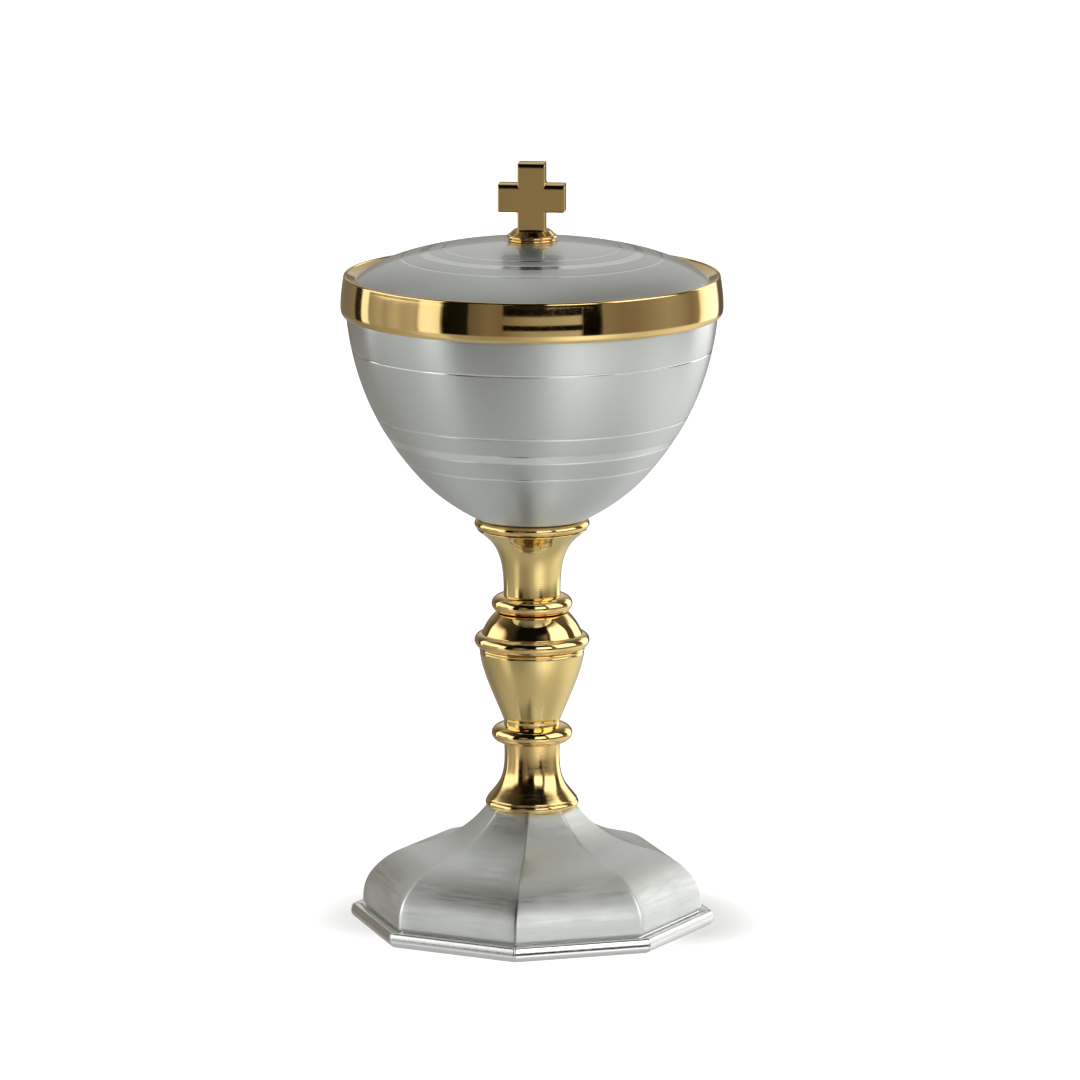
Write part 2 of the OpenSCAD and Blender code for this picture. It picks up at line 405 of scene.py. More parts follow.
def gilt(name, rough=0.055, lines=0.0, aniso=0.0, dents=0.5,
         tint=(0.92, 0.672, 0.29), deep=(0.875, 0.60, 0.23)):
    """Gold plate, clouded from tint to deep; lines and dents are bump heights."""
    net = Metal(name)
    cloud = net.noise(net.pos, scale=45.0)
    grain = net.noise(net.pos, scale=700.0, detail=4.0, rough=0.62)
    # Mirrored from further off than about 2 cm, the gold turns grey
    light = net.add("ShaderNodeLightPath")
    far = net.ramp(light.outputs["Ray Length"], span=(0.012, 0.020), to=(0.0, 0.93))
    mirrored = net.times(light.outputs["Is Glossy Ray"], far)
    gold = net.mix_color(net.ramp(cloud, span=(0.35, 0.75), to=(0.0, 0.6)), tint, deep)
    grey = (0.585, 0.577, 0.556)
    roughness = net.total(
        rough,
        net.ramp(grain, span=(0.35, 0.8), to=(-rough * 0.25, rough * 0.45)),
        net.ramp(cloud, span=(0.3, 0.7), to=(0.0, rough * 0.3)))
    height = net.times(net.noise(net.pos, scale=130.0, detail=2.0), dents)
    if lines:
        turned = net.turning_lines(net.pos, fineness=5200.0)
        roughness = net.total(roughness, net.ramp(turned, span=(0.3, 0.7), to=(-0.03, 0.05)))
        height = net.total(height, net.times(turned, lines))
    net.shade({"Base Color": net.mix_color(mirrored, gold, grey), "Roughness": roughness})
    net.bump(height, strength=0.10, distance=0.00012)
    net.stretch_highlights(aniso)
    return net.material


def line_mask(net, key, lines):
    """1 on the polished lines; key is the height or radius they are given in."""
    mask = None
    for low, high in lines:
        band = net.band(key, low * MM, high * MM, soft=0.00007)
        mask = band if mask is None else net.math("MAXIMUM", mask, band)
    return mask


def fold_highlight_mask(net, x, y):
    """A painted highlight along the eight folds of the foot, brighter in patches."""
    radius = net.hypot(x, y)
    eighth = math.pi / 4
    turns = net.total(net.math("DIVIDE", net.math("ARCTAN2", y, x), eighth), 0.5)
    off_turn = net.math("ABSOLUTE", net.math("SUBTRACT", net.math("FRACT", turns), 0.5))
    distance = net.times(net.times(off_turn, eighth), radius)
    highlight_patches = net.ramp(net.noise(net.pos, scale=160.0, detail=2.0), span=(0.25, 0.6), to=(0.55, 1.0))
    return net.times(net.ramp(distance, span=(0.00025, 0.00085), to=(0.7, 0.0)), highlight_patches)


# folds adds a painted highlight along the foot's folds, as a paler and smoother colour there
def satin(name, rough, kind, aniso, lines=(), radial=False, folds=False, dull_below=None,
          tint=(0.79, 0.82, 0.79), polish=0.96, polish_rough=0.13, coat=0.0, coat_rough=0.05):
    """Satin silver plate with polished parts. kind is "turned", "drawn", or "soft" for rubbed by
    hand; lines are heights, or radii when radial is set; below dull_below (mm) it is rougher."""
    net = Metal(name)
    pos = net.pos
    mask = None
    if lines or folds:
        x, y, z = net.split(pos)
        if folds:
            mask = fold_highlight_mask(net, x, y)
        else:
            mask = line_mask(net, net.hypot(x, y) if radial else z, lines)
    cloud = net.noise(pos, scale=28.0)
    grain = net.noise(pos, scale=2600.0, detail=2.0, rough=0.6)
    if kind == "turned":
        fine = net.turning_lines(pos, fineness=7000.0, around=2.2)
        line_height, grain_height = 0.6, 0.4
    else:
        fine = net.stretched_noise(pos, scales=(900.0, 900.0, 2400.0))
        line_height, grain_height = 0.1, 0.12

    pale = (0.93, 0.94, 0.93)
    color = net.mix_color(net.ramp(cloud, span=(0.3, 0.72), to=(0.0, 0.55)),
                          tint, scaled(tint, 0.93))
    color = net.mix_color(net.ramp(grain, span=(0.35, 0.7), to=(0.0, 0.16)),
                          color, scaled(tint, 0.80))
    color = net.mix_color(net.ramp(fine, span=(0.38, 0.68), to=(0.0, 0.14)), color, pale)
    roughness = net.total(
        rough,
        net.ramp(grain, span=(0.3, 0.7), to=(-0.035, 0.035)),
        net.ramp(fine, span=(0.3, 0.7), to=(-0.03, 0.03)),
        net.ramp(cloud, span=(0.3, 0.7), to=(-0.02, 0.02)))
    height = net.total(net.times(fine, line_height), net.times(grain, grain_height))

    if dull_below is not None:
        fade = ((dull_below - 8) * MM, (dull_below + 6) * MM)
        roughness = net.total(roughness, net.ramp(z, span=fade, to=(0.16, 0.0)))
    if kind == "soft":
        # faint level strokes and cloudy patches
        stroke = net.stretched_noise(pos, scales=(70.0, 70.0, 1500.0))
        patchy = net.noise(pos, scale=95.0, detail=4.0, rough=0.6)
        roughness = net.total(roughness,
                              net.ramp(patchy, span=(0.3, 0.7), to=(-0.05, 0.05)),
                              net.ramp(stroke, span=(0.3, 0.7), to=(-0.05, 0.05)))
        color = net.mix_color(net.ramp(stroke, span=(0.42, 0.7), to=(0.0, 0.22)),
                              color, scaled(tint, 0.86))
        color = net.mix_color(net.ramp(patchy, span=(0.45, 0.7), to=(0.0, 0.20)),
                              color, scaled(tint, 0.88))
        height = net.total(height, net.times(stroke, 0.5))
    # Paler and smoother on the polished lines, and on the folds as a painted highlight
    if mask is not None:
        color = net.mix_color(mask, color, (polish * 0.972, polish, polish * 0.968))
        roughness = net.mix_value(mask, roughness, polish_rough)
        height = net.times(height, net.math("SUBTRACT", 1.0, mask))

    net.shade({"Base Color": color, "Roughness": roughness})
    net.bump(height, strength=0.22, distance=0.00004)
    net.stretch_highlights(aniso)
    if coat:
        net.shade({"Coat Weight": coat, "Coat Roughness": coat_rough, "Coat IOR": 1.5})
    return net.material


def machined(name, tint, rough):
    """Plain turned metal of the hidden parts."""
    net = Metal(name)
    cloud = net.noise(net.pos, scale=260.0, detail=4.0)
    turned = net.turning_lines(net.pos, fineness=6000.0)
    net.shade({
        "Base Color": net.mix_color(net.ramp(cloud, span=(0.3, 0.75), to=(0.0, 0.7)),
                                    tint, scaled(tint, 0.72)),
        "Roughness": net.total(rough, net.ramp(turned, span=(0.3, 0.7), to=(-0.07, 0.09)))})
    net.bump(turned, strength=0.25, distance=0.00003)
    return net.material


# A finish is a slot name and its materials
POLISHED_GILT = ("polished_gilt", gilt("gilt_polished"))
TURNED_GILT = ("brushed_gilt", gilt("gilt_turned", rough=0.10, lines=0.4, aniso=0.6,
                                    tint=(0.905, 0.70, 0.30), deep=(0.86, 0.63, 0.24)))
FLARE_GILT = ("polished_gilt", gilt("gilt_flare", rough=0.115, lines=0.35, aniso=0.82))
INNER_GILT = ("brushed_gilt", gilt("gilt_inside", rough=0.20, lines=0.6, aniso=0.4, dents=0.08,
                                   tint=(0.93, 0.70, 0.33), deep=(0.90, 0.64, 0.27)))
CUP_SILVER = ("satin_silver_cup",
              satin("satin_silver_cup", rough=0.34, kind="turned", lines=CUP_LINES, aniso=0.75,
                    dull_below=126),
              INNER_GILT[1])
LID_SILVER = ("satin_silver_lid",
              satin("satin_silver_lid", rough=0.42, kind="turned", lines=LID_RINGS, radial=True,
                    aniso=0.2, coat=0.7, polish=0.84, polish_rough=0.19),
              INNER_GILT[1])
# On the foot, polish is the colour of the painted highlight along its folds
FOOT_SILVER = ("satin_silver_foot",
               satin("satin_silver_foot", rough=0.45, kind="soft", aniso=0.58, coat=0.06,
                     coat_rough=0.16, polish_rough=0.38, folds=True, tint=(0.925, 0.955, 0.92),
                     polish=0.99))
BRIGHT_SILVER = ("polished_silver", satin("polished_silver", rough=0.17, kind="drawn", aniso=0.0,
                                          tint=(0.94, 0.957, 0.935)))
STEEL = ("fastener_steel", machined("fastener_steel", tint=(0.50, 0.51, 0.53), rough=0.3))
BRASS = ("plain_brass", machined("plain_brass", tint=(0.80, 0.60, 0.28), rough=0.26))

# ------------------------------------------------------------------ foot

HALF_SIDE = math.radians(22.5)  # angle from the middle of a flat to its corner
FLAT_RATIO = math.cos(HALF_SIDE)  # axis-to-flat over axis-to-corner
FOOT_WALL = 1.1
FOOT_INSIDE_R = 43.9
ROD_HOLE_R = 3.3
MOULD_FLAT = 53.2 * FLAT_RATIO  # axis to the outermost line of the moulding
MOULD_R = 2.3  # of its half-round; also the height of its centre


def flats():
    """Angle, outward normal and tangent of the eight flats; a corner at -Y starts the first."""
    for k in range(8):
        angle = math.radians(-90 + 22.5 + 45 * k)
        nx, ny = math.cos(angle), math.sin(angle)
        yield angle, nx, ny, -ny, nx


def octagon(flat, z, corner_r, side_steps=14, corner_steps=6):
    """Level eight-sided loop with rounded corners; flat is the distance from axis to flat."""
    points = []
    corner_r = min(corner_r, flat * 0.4)
    reach = flat * math.tan(HALF_SIDE) - corner_r * math.tan(HALF_SIDE)
    for angle, nx, ny, tx, ty in flats():
        for j in range(side_steps + 1):
            u = -reach + 2 * reach * j / side_steps
            points.append((nx * flat + tx * u, ny * flat + ty * u, z))
        centre_x = nx * (flat - corner_r) + tx * reach
        centre_y = ny * (flat - corner_r) + ty * reach
        for j in range(1, corner_steps):
            q = angle + 2 * HALF_SIDE * j / corner_steps
            points.append((centre_x + corner_r * math.cos(q), centre_y + corner_r * math.sin(q), z))
    return points


def build_foot_shell():
    corner_line = bezier((49.7, 5.6), (49.8, 10.2), (48.6, 13.2), (45.8, 16), 16) \
        + bezier((45.8, 16), (43.4, 18.6), (39.8, 20.9), (35.3, 22.1), 14)[1:] \
        + bezier((35.3, 22.1), (28.6, 23.9), (20.9, 25.4), (13.3, FLARE_Z), 26)[1:]
    shell = [(r * FLAT_RATIO, z) for r, z in corner_line]
    outer = [(45.1, 4.62), (45.45, 4.68), (45.72, 4.86), (45.86, 5.2)] + shell
    hole = [(ROD_HOLE_R, FLARE_Z), (ROD_HOLE_R, FLARE_Z - FOOT_WALL)]
    inner = [(min(r, FOOT_INSIDE_R), z) for r, z in offset(shell, FOOT_WALL)
             if 6.6 < z < FLARE_Z - 1.4]
    under = [(11.0, FLARE_Z - FOOT_WALL), *reversed(inner),
             (FOOT_INSIDE_R, 6.2), (FOOT_INSIDE_R, 4.62)]
    loops = [octagon(flat, z, corner_r=1.5) for flat, z in outer]
    for radius, z in hole:  # round, on the same angles as the octagon's points
        loops.append([(radius * x / math.hypot(x, y), radius * y / math.hypot(x, y), z)
                      for x, y, _ in octagon(10.0, z, corner_r=1.0)])
    loops += [octagon(flat, z, corner_r=0.8) for flat, z in under]
    bm = bmesh.new()
    loft(bm, loops)
    finish_mesh("foot_shell_skin", bm, "vessel", FOOT_SILVER)


def build_foot_moulding():
    """Half-round section with a flatter upper flank, swept round eight sides, with a fine V at
    each mitre."""
    core = MOULD_FLAT - MOULD_R
    section = [(44.25, 0.0)] + arc(core, MOULD_R, MOULD_R, MOULD_R, -90, 8, 22)
    section = turn_on(section, 6.3, 8, 22, 6)
    section = turn_on(section, 0.6, 22, 80, 8)
    section = turn_on(section, 4.0, 80, 102, 6)
    section += [(46.2, 4.30), (45.75, 4.10), (45.35, 3.95), (45.1, 4.15), (45.05, 4.6),
                (44.25, 4.6), (44.0, 4.35), (44.0, 0.25)]
    section = dense(section, 0.8)
    # Distance from the mitre, and how far the surface sinks there
    mitre = [(0.0, 0.34), (0.10, 0.12), (0.24, 0.0), (0.5, 0.0)]

    def sink(flat, z, depth):
        sunk_z = z + (MOULD_R - z) * depth / MOULD_R if z > 0.3 else z
        return flat - depth * max(0.0, (flat - core) / MOULD_R), sunk_z

    loops = []
    for _, nx, ny, tx, ty in flats():

        def add_loop(depth, place):
            """place turns half the side's length into a distance along the side."""
            loop = []
            for flat, z in section:
                flat, z = sink(flat, z, depth)
                u = place(flat * math.tan(HALF_SIDE))
                loop.append((nx * flat + tx * u, ny * flat + ty * u, z))
            loops.append(loop)

        for gap, depth in mitre:
            add_loop(depth, lambda half: -(half - gap))
        for j in range(1, 8):
            add_loop(0.0, lambda half: -half + 2 * half * (j / 8))
        for gap, depth in reversed(mitre[1:]):
            add_loop(depth, lambda half: half - gap)
    bm = bmesh.new()
    loft(bm, loops)
    finish_mesh("foot_moulding_wire", bm, "vessel", BRIGHT_SILVER)


build_foot_shell()
build_foot_moulding()

# ------------------------------------------------------------------ stem

BORE = 6.5
KNOP_BORE = 12
SPIGOT_GAP = 0.05


def ring_profile(radius, z0, z1, bulge, bore, up, down):
    """A bulging ring with spigots that reach up and down into a bore of its neighbours."""
    hole, spigot = 3.4, bore - SPIGOT_GAP
    points = [(hole, z0 - down), (spigot, z0 - down), (spigot, z0)]
    points += arc(radius - bulge, (z0 + z1) / 2, bulge, (z1 - z0) / 2, -90, 90, 44)
    points += [(spigot, z1), (spigot, z1 + up), (hole, z1 + up)]
    return dense(points, 0.6)


flare = [(3.2, FLARE_Z)] + arc(12.75, FLARE_Z + 1.1, 0.8, 1.1, -90, 64, 16) \
    + [(13.02, 37.16), (12.98, 37.26), (13.06, 37.36)] \
    + bezier((13.08, 37.44), (9.93, 41.72), (7.4, 42.31), (8.15, RING_Z), 48) \
    + [(BORE, RING_Z), (BORE, 40.5), (3.2, 38.2)]
lower_ring = ring_profile(11.75, RING_Z, VASE_Z, bulge=3.5, bore=BORE, up=3, down=3)
vase = [(BORE, VASE_Z), (8.2, VASE_Z), (8.18, 60.0)] \
    + bezier((8.2, 60.5), (10.25, 66.0), (14.88, 75.1), (15.15, 80.75), 48) \
    + [(15.12, 80.9), (14.98, 80.98), (14.98, 81.06)] + arc(14.98, 81.5, 0.34, 0.42, -70, 80, 12) \
    + [(14.9, KNOP_Z), (KNOP_BORE, KNOP_Z), (KNOP_BORE, KNOP_Z - 2.5), (BORE, 66)]
knop_ring = ring_profile(16.7, KNOP_Z, CAP_Z, bulge=2.1, bore=KNOP_BORE, up=2, down=2)
cap = [(KNOP_BORE, CAP_Z)] + bezier((14.7, CAP_Z), (13.15, 89.08), (13.08, 89.63),
                                    (10.5, CAP_TOP), 44) \
    + [(BORE, CAP_TOP), (BORE, 90.5), (KNOP_BORE, CAP_Z + 2.5)]
upper_ring = ring_profile(11.75, CAP_TOP, TRUMPET_Z, bulge=3.1, bore=BORE, up=3, down=2.5)
trumpet = [(BORE, TRUMPET_Z), (8.3, TRUMPET_Z)] \
    + bezier((8.28, 97.7), (7.91, 112.14), (12.67, 114.0), (15.88, 116.7), 56) \
    + [(15.9, 116.88), (15.8, 117.0), (11, COLLAR_Z), (11, 113.5), (BORE, 112)]
collar = [(9, 114.4), (10.95, 114.4), (10.95, COLLAR_Z)] \
    + arc(15.0, COLLAR_Z + 1.5, 1.7, 1.5, -90, 78, 30) + [(14.9, 120.1), (9, 120.1)]

# Name, profile, finish, segments; from the foot up
for name, profile, finish, segments in (
        ("stem_flare_turned", dense(flare, 0.7), FLARE_GILT, 160),
        ("stem_lower_ring_turned", lower_ring, POLISHED_GILT, 160),
        ("knop_vase_turned", dense(vase, 0.7), TURNED_GILT, 176),
        ("knop_ring_turned", knop_ring, POLISHED_GILT, 176),
        ("knop_cap_turned", dense(cap, 0.7), POLISHED_GILT, 176),
        ("stem_upper_ring_turned", upper_ring, POLISHED_GILT, 160),
        ("stem_trumpet_turned", dense(trumpet, 0.7), TURNED_GILT, 176),
        ("stem_collar_turned", dense(collar, 0.7), POLISHED_GILT, 176)):
    lathe(name, profile, "vessel", finish, segments)

# ------------------------------------------------------------------ cup


def cup_radius(z):
    """Outside of the bowl: a superellipse with a slight swell low down, held to the rim."""
    full_r, full_z, depth = 54.18, 192.12, 76.71
    swell, swell_z, swell_spread = 0.42, 128.5, 7
    return min(RIM_R, full_r * (1 - ((full_z - z) / depth) ** 2.25) ** (1 / 1.63)
               + swell * math.exp(-((z - swell_z) / swell_spread) ** 2))


def build_cup():
    wall_top, line_depth = 179.8, 0.07
    heights = [CUP_Z + (wall_top - CUP_Z) * (i / 130) ** 1.2 for i in range(131)]
    heights = with_lines(heights, CUP_LINES, inset=0.6)
    outer = [(cup_radius(z) - sunk(z, CUP_LINES, line_depth), z) for z in heights]
    plain = [(cup_radius(z), z) for z in heights]
    inner = [(r, z) for r, z in offset(plain, CUP_WALL) if z > 121.8]
    lip = CUP_WALL / 2
    inside_r, inside_z = RIM_R - CUP_WALL, CUP_Z + CUP_WALL

    wall = [(r, CUP_Z) for r in (0, 5, 10, 14, 15.6)] + outer
    wall += [(RIM_R, z) for z in (181.5, 184, RIM_Z - lip)]
    outside = len(wall) - 1
    wall += arc(RIM_R - lip, RIM_Z - lip, lip, lip, 15, 165, 8)
    wall += [(inside_r, 184), (inside_r, 181.5), *reversed(inner), (14.2, 121.42)]
    wall += [(r, inside_z) for r in (12.5, 9, 5, 0)]
    lathe("cup_bowl_spun", wall, "vessel", CUP_SILVER, 256, outside)


build_cup()

# ------------------------------------------------------------------ lid


def dome_z(r):
    """Height of the top of the lid: a shallow dome that turns down near its edge."""
    return 201.3 - r * r / 300 - 2.6 * (r / LID_R) ** 8


SEAT_Z = dome_z(SEAT_R)
SEAT_UNDER_Z = SEAT_Z - LID_WALL


def build_lid_dome():
    inside_r, line_depth = 49.7, 0.03
    radii = [SEAT_R + (LID_R - SEAT_R) * (i / 100) ** 0.92 for i in range(1, 101)]
    radii = with_lines(radii, LID_RINGS, inset=0.7)
    dome = [(r, SEAT_Z) for r in (2.2, 5, 7.7)]
    dome += [(r, dome_z(r) - sunk(r, LID_RINGS, line_depth)) for r in radii]
    outside = len(dome)
    dome += [(LID_R, 188.65), (50.95, LID_EDGE_Z), (50.2, LID_EDGE_Z)]
    for i in range(61):
        r = inside_r - (inside_r - SEAT_R) * (i / 60)
        dome.append((r, dome_z(r) - LID_WALL))
    dome.append((2.2, SEAT_UNDER_Z))
    lathe("lid_dome_spun", dome, "lid", LID_SILVER, 256, outside)


def build_lid_rings():
    """The outer band over the rim of the cup, and the bezel inside the rim."""
    rest_z = RIM_Z + 0.02
    band = [(54.05, 180.0)] \
        + bezier((54.15, 179.82), (54.95, 179.9), (55.2, 181.0), (55.2, 182.3), 16) \
        + bezier((55.2, 182.4), (55.2, 185.0), (54.85, 187.8), (54.4, 190.5), 26) \
        + arc(53.85, 190.75, 0.52, 0.66, 8, 152, 16) \
        + [(LID_R, dome_z(LID_R) - 0.05), (LID_R, LID_EDGE_Z), (49.4, LID_EDGE_Z),
           (49.4, rest_z), (54.05, rest_z)]
    lathe("lid_band_turned", dense(band, 0.8), "lid", POLISHED_GILT, 256)
    bezel = fillet([(51.5, 182.6), (52.1, 182.6), (52.5, 183.2), (52.5, RIM_Z), (51.5, RIM_Z)],
                   0.15)
    lathe("lid_bezel_ring", dense(bezel, 0.8), "lid", INNER_GILT, 256)


build_lid_dome()
build_lid_rings()

# ------------------------------------------------------------------ cross and its collar

finial_collar = [(2.1, SEAT_Z), (6.4, SEAT_Z)] \
    + arc(6.42, SEAT_Z + 0.40, 0.5, 0.38, -80, 84, 14) + [(6.3, SEAT_Z + 0.88)] \
    + arc(6.75, SEAT_Z + 1.36, 0.55, 0.46, -78, 78, 16) \
    + [(6.65, 203.0), (5.5, 204.2), (5.35, 204.3), (2.1, 204.3)]
lathe("finial_collar_turned", dense(finial_collar, 0.5), "lid", POLISHED_GILT, 128)


def build_cross():
    arm_x, post_x, half_depth = 19.3 / 2, 7.9 / 2, 3.0
    base_z, arm_low, arm_high, top_z = 204.32, 209.6, 217.9, 224.0
    outline = [(-post_x, base_z), (post_x, base_z), (post_x, arm_low), (arm_x, arm_low),
               (arm_x, arm_high), (post_x, arm_high), (post_x, top_z), (-post_x, top_z),
               (-post_x, arm_high), (-arm_x, arm_high), (-arm_x, arm_low), (-post_x, arm_low)]
    bm = bmesh.new()
    weight = bm.edges.layers.float.new("bevel_weight_edge")
    front = [bm.verts.new((x * MM, -half_depth * MM, z * MM)) for x, z in outline]
    back = [bm.verts.new((x * MM, half_depth * MM, z * MM)) for x, z in outline]
    for quad in ((0, 1, 2, 11), (11, 2, 5, 8), (2, 3, 4, 5), (10, 11, 8, 9), (8, 5, 6, 7)):
        bm.faces.new([front[i] for i in quad])
        bm.faces.new([back[i] for i in reversed(quad)])
    for i in range(12):
        j = (i + 1) % 12
        bm.faces.new((front[i], front[j], back[j], back[i]))
    bmesh.ops.recalc_face_normals(bm, faces=bm.faces)

    def lies_at(edge, z):
        return all(abs(vert.co.z - z * MM) < 1e-6 for vert in edge.verts)

    # Full rounding on the level front and back edges of the tops, less elsewhere, none at the base
    for edge in bm.edges:
        at_base = lies_at(edge, base_z)
        edge.smooth = not at_base
        if at_base or len(edge.link_faces) != 2 or edge.calc_face_angle() <= 0.5:
            continue
        start, end = (vert.co for vert in edge.verts)
        on_top = lies_at(edge, arm_high) or lies_at(edge, top_z)
        edge[weight] = 1.0 if on_top and abs(start.y - end.y) < 1e-7 else 0.3
    cross = finish_mesh("finial_cross_cast", bm, "lid", POLISHED_GILT)

    rounding = cross.modifiers.new("rounding", "BEVEL")
    rounding.width = 1.6 * MM
    rounding.segments = 6
    rounding.limit_method = "WEIGHT"
    rounding.harden_normals = False
    normals = cross.modifiers.new("normals", "WEIGHTED_NORMAL")
    normals.mode = "FACE_AREA"
    normals.weight = 60
    normals.keep_sharp = True


build_cross()

# ------------------------------------------------------------------ rod, stud, nuts and washers


def threaded_rod(name, radius, z0, z1, zones, pitch, body, segments, depth):
    """A rod with a helical thread in each (low, high) zone, chamfered at both ends."""
    chamfer, run_out = 0.5, 0.5

    def thread_radius(k, z):
        fade = max(max(0.0, min(1.0, (z - low) / run_out, (high - z) / run_out))
                   for low, high in zones)
        phase = (z / pitch - k / segments) % 1.0
        crest = min(1.0, max(0.0, (abs(2 * phase - 1) - 0.1) / 0.8))
        return radius - depth * fade * (1 - crest)

    bm = bmesh.new()
    end_radii = [radius - chamfer] * segments
    heights = []
    z = z0 + chamfer
    while z < z1 - chamfer:
        heights.append(z)
        near = any(low - 0.6 < z < high + 0.6 for low, high in zones)
        z += pitch / 8 if near else 2.0
    heights.append(z1 - chamfer)
    rings = [turned_ring(bm, end_radii, z0)]
    for z in heights:
        rings.append(turned_ring(bm, [thread_radius(k, z) for k in range(segments)], z))
    rings.append(turned_ring(bm, end_radii, z1))
    skin(bm, rings, close=False)
    for ring, z in ((rings[0], z0), (rings[-1], z1)):
        skin(bm, [ring, pole(bm, z)], close=False)
    finish_mesh(name, bm, body, STEEL)


def hex_nut(name, across_flats, z0, height, bore, body):
    """A hexagon nut chamfered on both faces, with a countersunk bore."""
    segments = 36
    z1 = z0 + height
    sixth = math.pi / 3
    hexagon = []
    for k in range(segments):
        angle = 2 * math.pi * k / segments + math.pi / 6
        off_flat = (angle + math.pi / 6) % sixth - math.pi / 6
        hexagon.append(across_flats / 2 / math.cos(off_flat))
    bm = bmesh.new()
    rings = []
    for z in (z0, z0 + 0.12, z0 + 0.3, z0 + 0.6, z0 + 1.0, z0 + height / 2,
              z1 - 1.0, z1 - 0.6, z1 - 0.3, z1 - 0.12, z1):
        cone = across_flats / 2 * 0.985 + min(z - z0, z1 - z) / math.tan(math.radians(30))
        rings.append(turned_ring(bm, [min(r, cone) for r in hexagon], z))
    for r, z in ((bore + 0.45, z1), (bore, z1 - 0.4), (bore, z0 + 0.4), (bore + 0.45, z0)):
        rings.append(turned_ring(bm, [r] * segments, z))
    skin(bm, rings)
    sharpen(finish_mesh(name, bm, body, STEEL), 28)


def washer(name, inner, outer, z0, z1, body):
    outline = fillet([(inner, z0), (outer, z0), (outer, z1), (inner, z1)], 0.15, steps=3)
    lathe(name, dense(outline, 1.0), body, BRASS, 96)


def build_lock_washer():
    """A rectangular wire wound one turn, its cut ends slightly apart."""
    steps, start_deg, sweep_deg = 64, 7, 346
    section = fillet([(3.1, 30.52), (5.45, 30.52), (5.45, 31.88), (3.1, 31.88)], 0.18, steps=2)
    loops = []
    for i in range(steps + 1):
        angle = math.radians(start_deg + sweep_deg * i / steps)
        loops.append([(r * math.cos(angle), r * math.sin(angle), z) for r, z in section])
    bm = bmesh.new()
    rings = loft(bm, loops, close=False)
    for end in (rings[0], rings[-1]):
        bm.faces.new(end)
    sharpen(finish_mesh("lock_washer_split", bm, "vessel", STEEL), 50)


threaded_rod("tie_rod_threaded", 2.95, 20.5, 117.0, zones=[(20.6, 34), (104, 117)], pitch=1.0,
             body="vessel", segments=48, depth=0.32)
threaded_rod("finial_stud_threaded", 1.95, 194.2, 211.2, zones=[(194.3, 201), (204.5, 211.2)],
             pitch=0.7, body="lid", segments=40, depth=0.22)
hex_nut("foot_nut_hex", 10, 25.5, 5, 3.0, "vessel")
hex_nut("finial_nut_hex", 7, SEAT_UNDER_Z - 4.2, 3.2, 2.0, "lid")
washer("foot_washer_turned", 3.2, 10, 31.9, 33.88, "vessel")
washer("finial_washer_turned", 2.1, 6.5, SEAT_Z - 2.05, SEAT_Z - 1.07, "lid")
build_lock_washer()

# Socket under the cup, hidden by the stem
socket_profile = [(0, 118), (2.98, 117.9), (2.98, 107.4), (3.4, 107), (5.9, 107), (6.4, 107.5),
                  (6.4, 113.4), (8.95, 113.4), (8.95, 120.28), (0, 120.28)]
lathe("cup_socket_turned", dense(socket_profile, 1.0, closed=False), "vessel", BRASS, 96)

# ------------------------------------------------------------------ surroundings

# Each table holds (azimuth, value). Azimuth is in degrees from the camera's side, positive
# towards +X; values are brightness unless said otherwise.
TABLE = [  # just below the horizon: dimmer on the left, brighter on the right
    (-180, 0.38), (-136, 0.24), (-105, 0.35), (-83, 0.42), (-66, 0.70), (-57, 0.68), (-50, 0.38),
    (-42, 0.34), (-30, 0.30), (-19, 0.33), (-7, 0.42), (5, 0.58), (17, 0.96), (30, 1.20),
    (43, 1.06), (56, 0.78), (71, 0.66), (87, 0.78), (105, 0.88), (125, 0.86), (140, 0.76),
    (180, 0.40)]
UNDER = [  # steeply below
    (-180, 0.44), (-120, 0.46), (-80, 0.45), (-40, 0.41), (0, 0.45), (30, 0.56), (90, 0.48),
    (140, 0.48), (180, 0.44)]
HORIZON = [  # walls
    (-180, 0.20), (-150, 0.17), (-134, 0.22), (-132.9, 0.02), (-124.6, 0.02), (-123.6, 1.25),
    (-116.8, 1.2), (-115.6, 0.30), (-104, 0.44), (-100, 0.34), (-90, 0.52), (-84, 0.40),
    (-76, 0.46), (-72.5, 0.36), (-71.2, 1.15), (-64, 1.2), (-57, 1.0), (-56, 0.003),
    (-38.8, 0.01), (-38, 0.11), (-26, 0.175), (-18, 0.15), (0, 0.34), (29, 0.46), (30.6, 0.003),
    (42, 0.003), (43.2, 0.22), (56, 0.18), (66, 0.20), (78, 0.27), (90, 0.34), (100, 0.30),
    (112, 0.20), (120, 0.28), (122.5, 1.1), (128, 1.6), (148, 1.5), (151, 1.0), (152.4, 0.10),
    (165, 0.12), (180, 0.22)]
UPPER = [  # soft boxes left and right, a pale wall behind the cup
    (-180, 0.66), (-165, 0.42), (-150, 0.20), (-135, 0.10), (-127, 0.04), (-124, 1.6), (-60, 1.6),
    (-56.5, 1.5), (-55.5, 0.003), (-38.8, 0.003), (-37, 0.11), (-26, 0.16), (-20, 0.14),
    (-17, 0.003), (8, 0.003), (10.5, 1.9), (40, 1.9), (42.5, 0.05), (50, 0.10), (53, 1.9),
    (98, 1.9), (101, 0.06), (119, 0.08), (123, 1.8), (149, 1.7), (152, 0.24), (163, 0.44),
    (180, 0.66)]
TOP = [  # ceiling, dark over the camera
    (-180, 0.49), (-152, 0.50), (-132, 0.36), (-115, 0.15), (-90, 0.05), (-60, 0.035),
    (-40, 0.004), (62, 0.004), (85, 0.08), (118, 0.10), (150, 0.21), (180, 0.49)]
